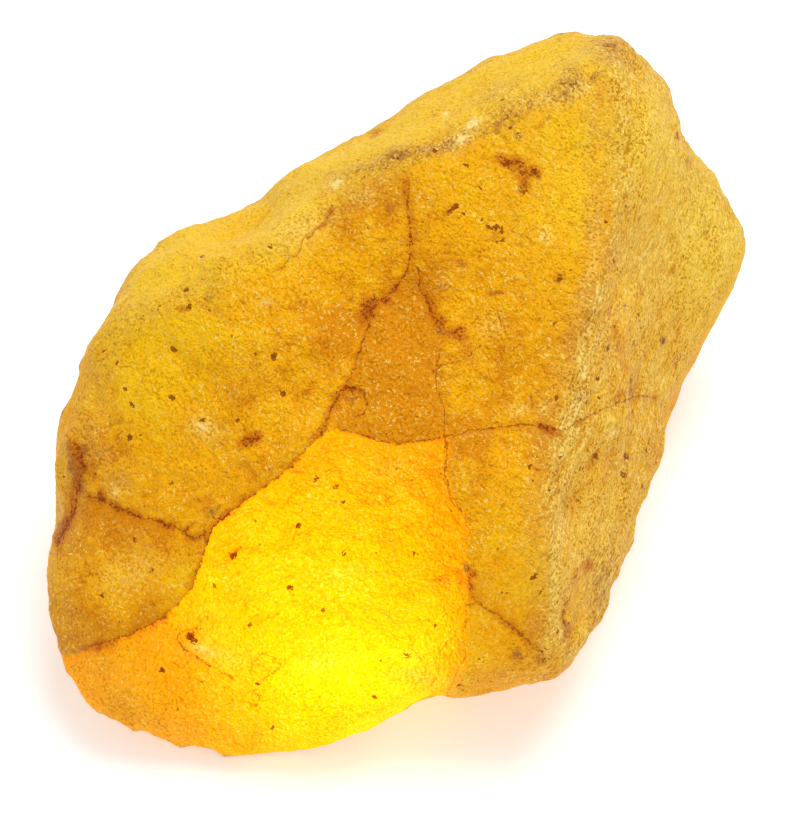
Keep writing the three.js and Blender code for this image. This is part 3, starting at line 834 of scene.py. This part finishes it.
# smooth steps of the skin: from where to where of what they read, and from what to what if it isn't 0 to 1
skinRamps = {
    "amberTone": (-0.5, 0.05),
    "goldTone": (0.05, 0.7),
    "tanTone": (-0.6, 0.4, 0.6, 1.0),
    "stripTone": (-0.6, 0.4, 0.5, 0.9),
    "dullClouds": (0.35, 0.6, 0.5, 1.0),
    "bruiseClouds": (0.55, 1.15, 0.0, 0.9),
    "faint": (0.02, 0.3),  # keeps weak rust and bruises from showing
    "sugarPatches": (0.38, 0.66, 0.35, 1.25),
    "lightOnRough": (0.0, 0.9, 0.75, 1.35),
    "darkOnRough": (0.0, 0.9, 0.6, 1.2),
    "darkPatches": (0.62, 0.34, 0.6, 1.15),
    "glintGrains": (0.54, 0.68, 0.0, 0.95),
    "pitShades": (0.5, 0.34, 0.0, 0.85),
    "darkOnFlank": (0.2, 0.9, 1.0, 0.85),
    "fibresOnWear": (0.0, 0.6, 0.5, 1.0),
    "fibreGlints": (0.52, 0.68, 0.0, 0.95),
    "fibreShades": (0.47, 0.33, 0.0, 0.95),
    "frostGrains": (0.38, 0.62),
    "fleckEdge": (0.05, -0.12, 0.0, 0.9),
    "haloClouds": (0.5, 1.1, 0.0, 0.75),
    "rustCrumbs": (1.78, 2.2),
    "rustGrains": (0.38, 0.6, 0.3, 0.95),
    "wrinkleLine": (0.022, 0.0, 0.0, 0.25),
    "wrinkleGrains": (0.35, 0.6),
    "middle": (0.4, 0.6),  # parts a noise at its middle
    "speckEdge": (0.035, -0.02),
    "veinLine": (0.04, 0.0),
    "markGrains": (0.3, 0.5, 0.75, 1.0),
    "crackGaps": (0.35, 0.55, 0.4, 1.0),
    "crackEdge": (-0.045, 0.015),
    "crackTone": (-0.9, 0.6, 0.85, 0.45),
    "wispLine": (0.12, 0.0, 0.0, 0.5),
    "wispGrains": (0.35, 0.6, 0.2, 1.0),
    "glowRim": (2.5, 0.0),
    "glowTone": (0.1, -0.7, 0.0, 0.7),
    "gloss": (0.3, 0.7, 0.36, 0.6),  # roughness
}

# how the skin is made up: shares and strengths, and sizes in millimetres
skinMix = {
    "fibreLength": 0.8,
    "cloudPull": 0.8,  # how far clouds break up bruises and halos
    "crumbPull": 2.6,  # how far the sparkle breaks up rust
    "spotPull": 0.5,  # how far an edge of a speck or fleck strays
    "speckPull": 0.45,  # what the grain adds to that on specks
    "speckShift": (0.9, -0.72, 0.54),  # how far scattered specks stray
    "specks": (1.5, 0.17, 0.2),  # spacing, radius of the largest, share of the places that have one
    "pins": (0.7, 0.1, 0.4),
    "speckStrength": 0.95,
    "pinStrength": 0.75,
    "veinStrength": 0.4,
    "lineStray": 0.56,  # how far a crack line strays
    "thinnest": 0.012,  # half width under which a crack has no line
    "cellInset": 0.03,
    "rimStrength": 0.4,
    "haloWithin": 0.3,  # how far rust halos show in the lit cell
    "relief": (2.0, 1.6),  # of the clouds and the fibres, to the grain's 1
    "bumpDepth": 0.14,
    "specular": 0.035,
    "refraction": 1.77,
    "clouded": 0.03,  # share of the light from within that the skin lets out
    "clear": 0.8,  # the same over the lit cell
}

skinMaterial = bpy.data.materials.new("sapphireSkin")
skinMaterial.use_nodes = True
tree = skinMaterial.node_tree
tree.nodes.clear()


def lightValue(colour):
    # the light that a shown colour stands for: (shown / 255) to the power 2.2
    return tuple((part / 255) ** 2.2 for part in stoneColours[colour]) + (1.0,)


def setInputs(node, inputs):
    # each input takes a plain value or another node's output
    for name, value in inputs.items():
        if isinstance(value, bpy.types.NodeSocket):
            tree.links.new(value, node.inputs[name])
        else:
            node.inputs[name].default_value = value


def adjusted(thing, settings):
    # the same thing with each named setting put on it
    for name, value in settings.items():
        setattr(thing, name, value)
    return thing


def addNode(kind, inputs, **settings):
    # a shader node of the skin with its settings and inputs
    node = adjusted(tree.nodes.new("ShaderNode" + kind), settings)
    setInputs(node, inputs)
    return node


def work(operation, *values, clamp=False):
    # one step of arithmetic
    return addNode("Math", dict(enumerate(values)), operation=operation, use_clamp=clamp).outputs[0]


def chained(operation):
    # a function that joins two values or more by that operation, one after the other
    def joined(first, *others, clamp=False):
        for other in others:
            first = work(operation, first, other, clamp=clamp)
        return first
    return joined


times, plus, minus, largest = (chained(name) for name in ("MULTIPLY", "ADD", "SUBTRACT", "MAXIMUM"))


def between(value, low, high, start=0.0, end=1.0):
    # start below low, end above high, smooth between
    inputs = {"Value": value, "From Min": low, "From Max": high, "To Min": start, "To Max": end}
    return addNode("MapRange", inputs, interpolation_type="SMOOTHSTEP").outputs[0]


def ramp(value, name):
    # a smooth step by its name
    return between(value, *skinRamps[name])


def laid(colour, *layers):
    # each colour laid over the last by its share; a grain is multiplied in
    for share, over in layers:
        mode = "MULTIPLY" if over in ("pitShade", "glowPitShade") else "MIX"
        pair = [lightValue(part) if isinstance(part, str) else part for part in (colour, over)]
        inputs = {0: share, 6: pair[0], 7: pair[1]}
        colour = addNode("Mix", inputs, data_type="RGBA", blend_type=mode).outputs[2]
    return colour


def cloud(place, name):
    # noise whose lumps are about that size
    size, detail, rough = skinNoise[name]
    inputs = {"Vector": place, "Scale": 1 / size, "Detail": detail, "Roughness": rough}
    return addNode("TexNoise", inputs).outputs["Fac"]


def moved(place, way, distance):
    # place + way * distance
    shift = addNode("VectorMath", {0: way, "Scale": distance}, operation="SCALE").outputs[0]
    return addNode("VectorMath", {0: place, 1: shift}, operation="ADD").outputs[0]


def dots(place, spacing, radius, share):
    # round specks, one to a cell of that spacing, in that share of the cells; a fifth of the radius is soft edge
    node = addNode("TexVoronoi", {"Vector": place, "Scale": 1 / spacing})
    chance = addNode("SeparateColor", {"Color": node.outputs["Color"]})
    body = minus(times(chance.outputs[1], radius / spacing), node.outputs["Distance"])
    edge = 0.2 * radius / spacing
    return times(between(body, -edge, edge), work("LESS_THAN", chance.outputs[0], share))


def attributeParts(name):
    # the three parts of what the points hold under that name
    vector = addNode("Attribute", {}, attribute_name=name).outputs["Vector"]
    parts = addNode("SeparateXYZ", {"Vector": vector})
    return [parts.outputs[axis] for axis in range(3)]


def paintSkin(groups):
    # colour laid over colour by the marks on the points and fine noise, mixed with light from within where it is lit
    mix = skinMix
    coordinates = addNode("TexCoord", {}).outputs["Object"]
    place = addNode("VectorMath", {0: coordinates, "Scale": 1 / millimetre}, operation="SCALE").outputs[0]
    grain, sparkle, stray, sugar = (cloud(place, name) for name in ("grain", "sparkle", "stray", "sugar"))
    way = tuple(pointing(*skinForm["striation"][3:]))
    run = addNode("VectorMath", {0: place, 1: way}, operation="DOT_PRODUCT").outputs["Value"]
    drawn = moved(place, way, times(run, skinNoise["fibre"][0] / mix["fibreLength"] - 1))
    fibre = cloud(drawn, "fibre")
    flank, strip, depth = attributeParts("skinZones")
    rust, frostAndHighlight, wearAndHighlight = attributeParts("skinMarks")
    veinField, wispField, inside = attributeParts("skinVeins")
    speckEdge, fleckEdge, blur = attributeParts("skinSpots")
    haze, seep, _ = attributeParts("skinLight")
    bruise = addNode("Attribute", {}, attribute_name="skinBruises").outputs["Fac"]
    centred = minus(stray, 0.5)

    # worn skin is dull (down the flank's ridge also a painted highlight) and bruised skin brown; painted glints and
    # painted shade in the grain's pits lie over both, strongest on the flank and where it is worn
    dull = times(wearAndHighlight, ramp(stray, "dullClouds"), clamp=True)
    clouds = times(stray, mix["cloudPull"])
    bruised = times(ramp(plus(bruise, clouds), "bruiseClouds"), ramp(bruise, "faint"))
    rough = largest(flank, bruised, wearAndHighlight)
    fibrous = times(flank, ramp(wearAndHighlight, "fibresOnWear"))
    # painted glints: pale grains where the sparkle noise and the flank's raised fibres peak
    glintGrain = largest(ramp(sparkle, "glintGrains"), times(ramp(fibre, "fibreGlints"), fibrous))
    lightRough = times(ramp(rough, "lightOnRough"), ramp(sugar, "sugarPatches"))
    glintGrain = times(glintGrain, lightRough, clamp=True)
    # painted shade in the grain's pits and between the flank's fibres, multiplied in
    pitShade = times(ramp(grain, "pitShades"), ramp(flank, "darkOnFlank"))
    pitShade = largest(pitShade, times(ramp(fibre, "fibreShades"), fibrous))
    pitShade = times(pitShade, times(ramp(rough, "darkOnRough"), ramp(sugar, "darkPatches")), clamp=True)
    # frost marks on the grain; down the flank's ridge they are painted highlight streaks
    frostAndHighlighted = times(frostAndHighlight, ramp(grain, "frostGrains"), clamp=True)
    strayed = times(centred, mix["spotPull"])
    fleck = ramp(plus(fleckEdge, strayed), "fleckEdge")
    halo = times(ramp(plus(rust, clouds), "haloClouds"), ramp(rust, "faint"))
    rusty = times(ramp(plus(rust, times(sparkle, mix["crumbPull"])), "rustCrumbs"), ramp(grain, "rustGrains"))
    # dark wrinkle lines: painted shade of the fine relief
    wrinkleShade = times(ramp(work("ABSOLUTE", centred), "wrinkleLine"), ramp(grain, "wrinkleGrains"))

    # specks, pin marks, hairline veins and crack lines
    bent = moved(place, mix["speckShift"], centred)
    uneven = plus(strayed, times(minus(grain, 0.5), mix["speckPull"]))
    specks = largest(dots(bent, *mix["specks"]), ramp(plus(speckEdge, uneven), "speckEdge"))
    pins = dots(bent, *mix["pins"])
    vein = times(ramp(work("ABSOLUTE", veinField), "veinLine"), ramp(stray, "middle"))
    marks = largest(times(specks, mix["speckStrength"]), times(pins, mix["pinStrength"]))
    marks = largest(marks, times(vein, mix["veinStrength"]))
    marks = times(marks, ramp(grain, "markGrains"))
    offset = times(centred, mix["lineStray"])
    broken = times(ramp(sparkle, "middle"), ramp(stray, "crackGaps"))
    lines = []
    for group in groups:
        side, width, _ = attributeParts(group + "Cracks")
        line = minus(times(width, broken), work("ABSOLUTE", plus(side, offset)))
        lines.append(times(ramp(line, "crackEdge"), work("GREATER_THAN", width, mix["thinnest"])))
    marks = largest(marks, times(largest(*lines), ramp(depth, "crackTone")))

    # the colours from the body up: deep amber to gold in slow clouds, tan on the flank, pale gold on the strip (both
    # partly a painted sheen of grazing faces)
    colour = laid(
        "deepAmber",
        (ramp(depth, "amberTone"), "amber"),
        (ramp(depth, "goldTone"), "gold"),
        (times(flank, ramp(depth, "tanTone")), "tan"),
        (times(strip, ramp(depth, "stripTone")), "paleGold"),
        (dull, "dull"),
        (bruised, "bruise"),
        (glintGrain, "frostAndHighlight"),
        (pitShade, "pitShade"),
        (frostAndHighlighted, "frostAndHighlight"),
        (fleck, "fleck"),
        (halo, "rustHalo"),
        (rusty, "rust"),
        (wrinkleShade, "wrinkleShade"),
        (marks, laid("brown", (ramp(stray, "middle"), "rust"))),
    )

    # what the light from within shows: yellow with orange wisps and the same painted glints, darkened by the same
    # marks and painted shade
    wisps = times(ramp(work("ABSOLUTE", wispField), "wispLine"), ramp(grain, "wispGrains"))
    within = laid(
        "glow",
        (wisps, "glowVein"),
        (times(ramp(inside, "glowRim"), mix["rimStrength"]), "glowEdge"),
        (ramp(depth, "glowTone"), "glowEdge"),
        (largest(fleck, glintGrain, frostAndHighlighted), "glowPale"),
        (pitShade, "glowPitShade"),
        (largest(times(halo, mix["haloWithin"]), wrinkleShade), "glowVein"),
        (largest(rusty, bruised), "rust"),
        (marks, "glowSpeck"),
    )

    # the lit cell: how far inside, with a ragged edge, less where the skin is hazy
    deeper = minus(inside, offset, mix["cellInset"])
    lit = times(between(deeper, times(blur, -1.0), blur), minus(1.0, haze))
    share = largest(times(lit, mix["clear"]), plus(seep, mix["clouded"]))

    # relief finer than the mesh
    cloudy, drawnOut = mix["relief"]
    height = work("MULTIPLY_ADD", fibre, times(fibrous, drawnOut), plus(times(stray, cloudy), grain))
    bump = addNode("Bump", {"Height": height, "Strength": 1.0, "Distance": mix["bumpDepth"] * millimetre}).outputs[0]

    surface = addNode("BsdfPrincipled", {
        "Base Color": colour,
        "Roughness": ramp(sparkle, "gloss"),
        "Specular IOR Level": mix["specular"],
        "IOR": mix["refraction"],
        "Normal": bump,
    })
    glow = addNode("BsdfTranslucent", {"Color": within, "Normal": bump})
    both = addNode("MixShader", {0: share, 1: surface.outputs[0], 2: glow.outputs[0]})
    addNode("OutputMaterial", {"Surface": both.outputs[0]}).is_active_output = True
    print("stone's skin made:", len(tree.nodes), "nodes")


stone, crackGroups = makeStone()
paintSkin(crackGroups)
stone.data.materials.append(skinMaterial)
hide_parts("sapphire")
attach(stone, "root")

# the stage: a white floor just under the stone, a white sky, a broad soft lamp and a small torch's light within
stagePlan = {
    "floor": (2.0, -0.00004),  # m, half its side and its height
    "floorPaint": {
        "Base Color": (0.92, 0.92, 0.92, 1.0),
        "Roughness": 0.7,
        "Specular IOR Level": 0.1,
        "Emission Color": (1.0, 1.0, 1.0, 1.0),
        "Emission Strength": 0.33,
    },
    "sky": {"Color": (1.0, 1.0, 1.0, 1.0), "Strength": 0.64},
    "softLamp": ("AREA", (0.01, 0.13, 0.385), {"shape": "DISK", "size": 0.24, "energy": 0.85}),
    "torch": ("POINT", (0.0024, -0.0103, 0.0062), {"shadow_soft_size": 0.002, "energy": 0.0078}),
}


def setUp(name, data):
    # a new object of the stage
    thing = bpy.data.objects.new(name, data)
    bpy.context.collection.objects.link(thing)
    return thing


def makeFloor():
    # a square from -half to half across, flat
    half, height = stagePlan["floor"]
    mesh = bpy.data.meshes.new("paleFloor")
    corners = [(x, y, height) for x, y in ((-half, -half), (half, -half), (half, half), (-half, half))]
    mesh.from_pydata(corners, [], [(0, 1, 2, 3)])
    material = bpy.data.materials.new("paleFloor")
    material.use_nodes = True
    setInputs(material.node_tree.nodes["Principled BSDF"], stagePlan["floorPaint"])
    mesh.materials.append(material)
    floor = setUp("paleFloor", mesh)


def makeLights():
    # the lamp points at the stone, and the torch's point of light, which shines all round, sits inside it
    world = bpy.data.worlds.new("whiteSky")
    world.use_nodes = True
    setInputs(world.node_tree.nodes["Background"], stagePlan["sky"])
    bpy.context.scene.world = world
    for name in ("softLamp", "torch"):
        kind, spot, settings = stagePlan[name]
        lamp = setUp(name, adjusted(bpy.data.lights.new(name, kind), settings))
        lamp.location = spot
        lamp.rotation_euler = (-Vector(spot)).to_track_quat("-Z", "Y").to_euler()


def makeCamera():
    # stands off from the point below the heart along its own direction; the lens covers the frame's long side
    right, up, towards = cameraAxes()
    lens = bpy.data.cameras.new("camera")
    pixels = cameraPlan["distance"] / cameraPlan["pixelSize"]
    lens.lens = lens.sensor_width * pixels / max(cameraPlan["frame"])
    lens.clip_start, lens.clip_end = cameraPlan["clip"]
    camera = setUp("camera", lens)
    target = np.array([0, 0, stoneForm["heartHeight"]]) - up * cameraPlan["rise"]
    turn = np.eye(4)
    turn[:3, 0], turn[:3, 1], turn[:3, 2] = right, up, towards
    turn[:3, 3] = (target + towards * cameraPlan["distance"]) * millimetre
    camera.matrix_world = Matrix(turn.tolist())
    bpy.context.scene.camera = camera


makeFloor()
makeLights()
makeCamera()
bpy.context.scene.view_settings.view_transform = "Standard"
bpy.context.view_layer.update()
print("stage, lights and camera in place")
